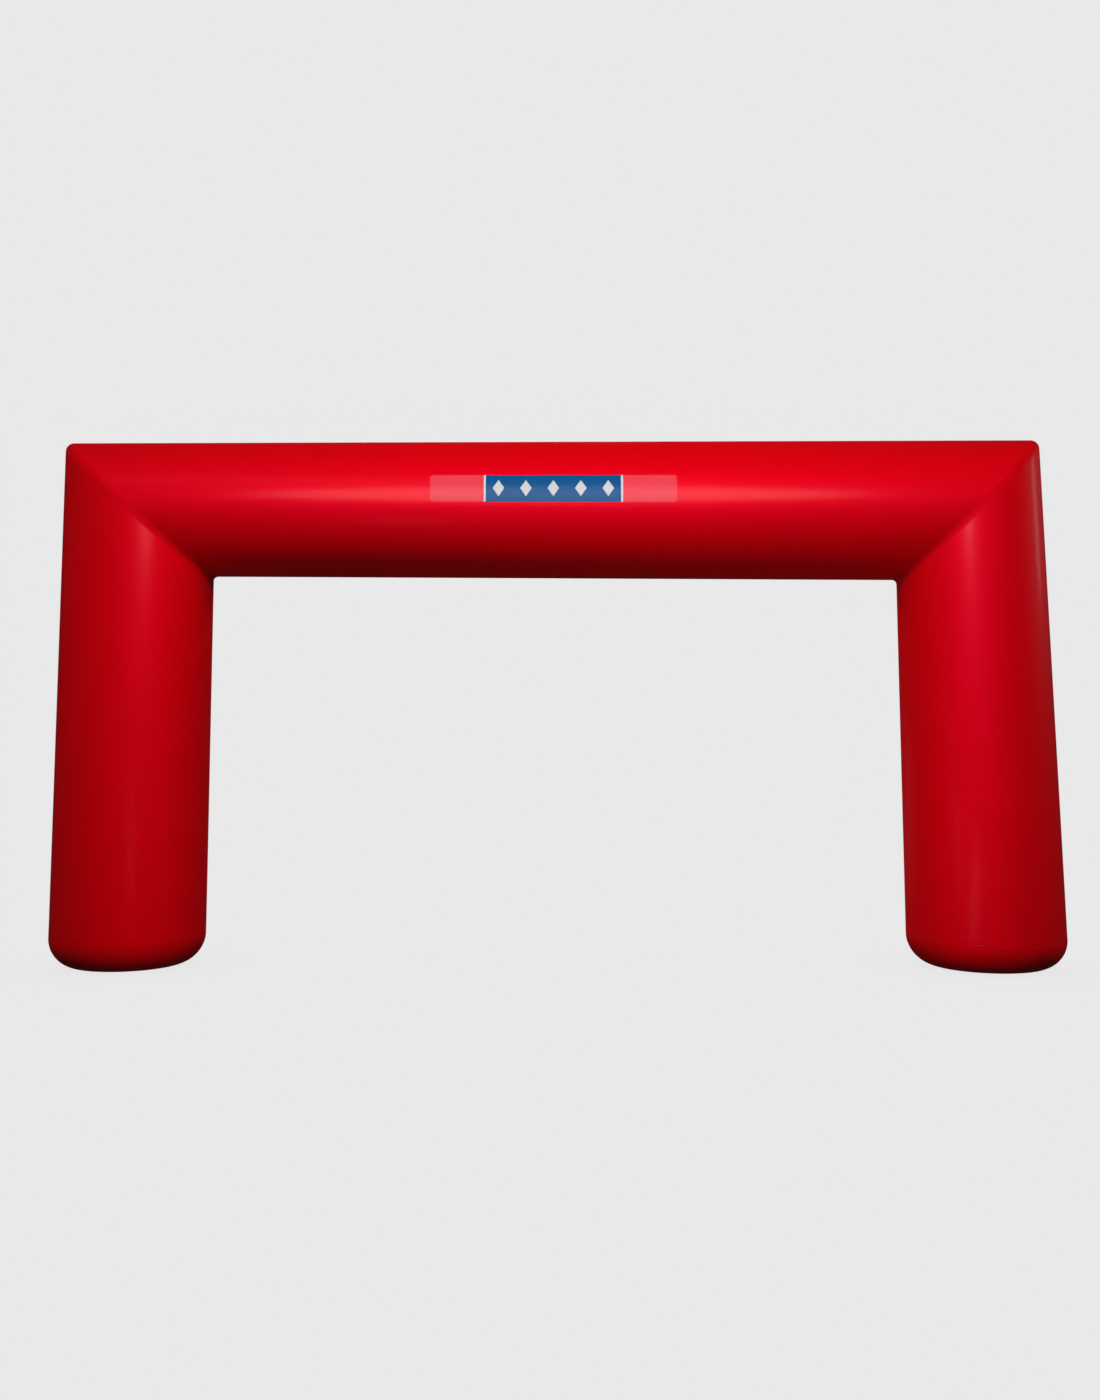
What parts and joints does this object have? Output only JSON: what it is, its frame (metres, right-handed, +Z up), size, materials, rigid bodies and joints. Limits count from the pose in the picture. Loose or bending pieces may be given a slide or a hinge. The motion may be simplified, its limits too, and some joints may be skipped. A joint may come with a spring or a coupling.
{
  "type": "inflatable arch",
  "caption": "Free-standing inflatable arch: a level air-filled crossbar mitred to two upright tube legs on rounded, flat-bottomed bases.",
  "frame": {"origin": "on the ground, in the middle of the arch's width and depth", "axes": "+X along the crossbar to the right as seen from the front, +Y to the back, +Z up"},
  "size_m": [6.0574, 0.85, 3.2009],
  "materials": {
    "bar_cloth": "red coated nylon, soft gloss, with one plain printed panel",
    "leg_cloth": "red coated nylon, soft gloss",
    "base_cloth": "red coated nylon, soft gloss"
  },
  "bodies": {
    "root": {"crossbar": "bar_cloth", "leg_left": "leg_cloth", "leg_right": "leg_cloth", "base_left": "base_cloth", "base_right": "base_cloth"}
  },
  "joints": []
}
